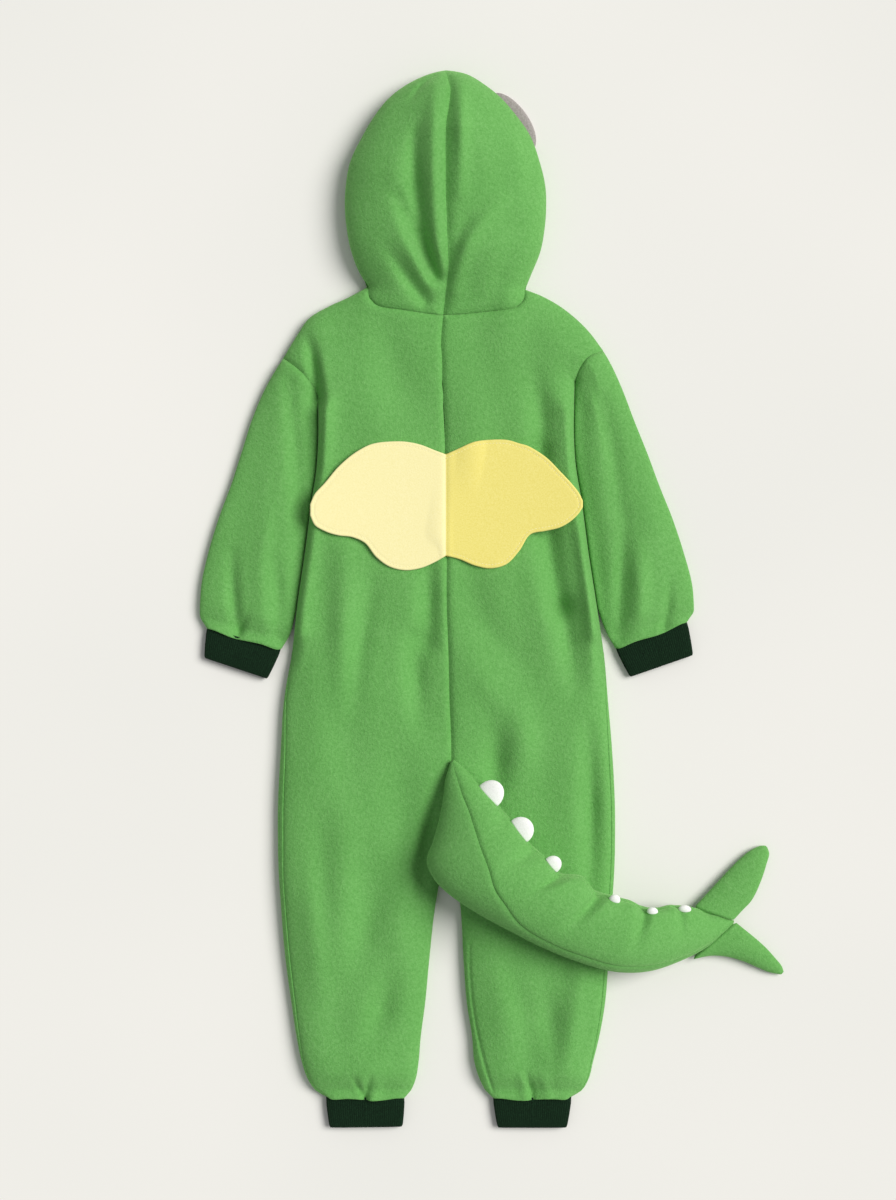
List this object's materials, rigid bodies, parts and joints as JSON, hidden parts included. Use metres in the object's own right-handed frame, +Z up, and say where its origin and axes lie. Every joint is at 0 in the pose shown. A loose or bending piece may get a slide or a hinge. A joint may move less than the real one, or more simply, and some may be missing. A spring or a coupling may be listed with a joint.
{
  "type": "kigurumi onesie",
  "caption": "Child's hooded fleece dragon onesie laid flat with its back up, with rib cuffs, felt wings and a stuffed tail with spikes and a fin.",
  "frame": {"origin": "the middle of the laid garment's box, on the surface that it lies on", "axes": "+Y toward the hood, +X to the right seen from above with the hood up, +Z up from the surface"},
  "size_m": [0.643, 1.1634, 0.0845],
  "materials": {
    "fleece": "brushed polyester fleece, mid green, matt with a soft nap",
    "rib": "dark green rib knit, matt",
    "wing_felt": "pale yellow felt, matt",
    "white_felt": "white felt, matt",
    "grey_felt": "grey felt, matt",
    "zip_tape": "woven polyester tape, green",
    "zip_metal": "plated cast metal, satin"
  },
  "bodies": {
    "garment": {"hood_left": "fleece", "hood_right": "fleece", "back_left": "fleece", "back_right": "fleece", "front_left": "fleece", "front_right": "fleece", "sleeve_left": "fleece", "sleeve_right": "fleece", "tail_side_shown": "fleece", "tail_side_under": "fleece", "tail_belly": "fleece", "fin_upper": "fleece", "fin_lower": "fleece", "cuff_wrist_left": "rib", "cuff_wrist_right": "rib", "cuff_ankle_left": "rib", "cuff_ankle_right": "rib", "wings": "wing_felt", "spike_1": "white_felt", "spike_2": "white_felt", "spike_3": "white_felt", "spike_4": "white_felt", "spike_5": "white_felt", "spike_6": "white_felt", "ear_left": "grey_felt", "ear_right": "grey_felt", "zip_tape": "zip_tape", "zip_slider": "zip_metal"},
    "pull": {"zip_pull": "zip_metal"}
  },
  "joints": [
    {"name": "pull_tab_hinge", "type": "hinge", "parent": "garment", "child": "pull", "pos_m": [-0.0505, 0.26565, 0.0035], "axis": [1, 0, 0], "range_deg": [0, 150]}
  ]
}
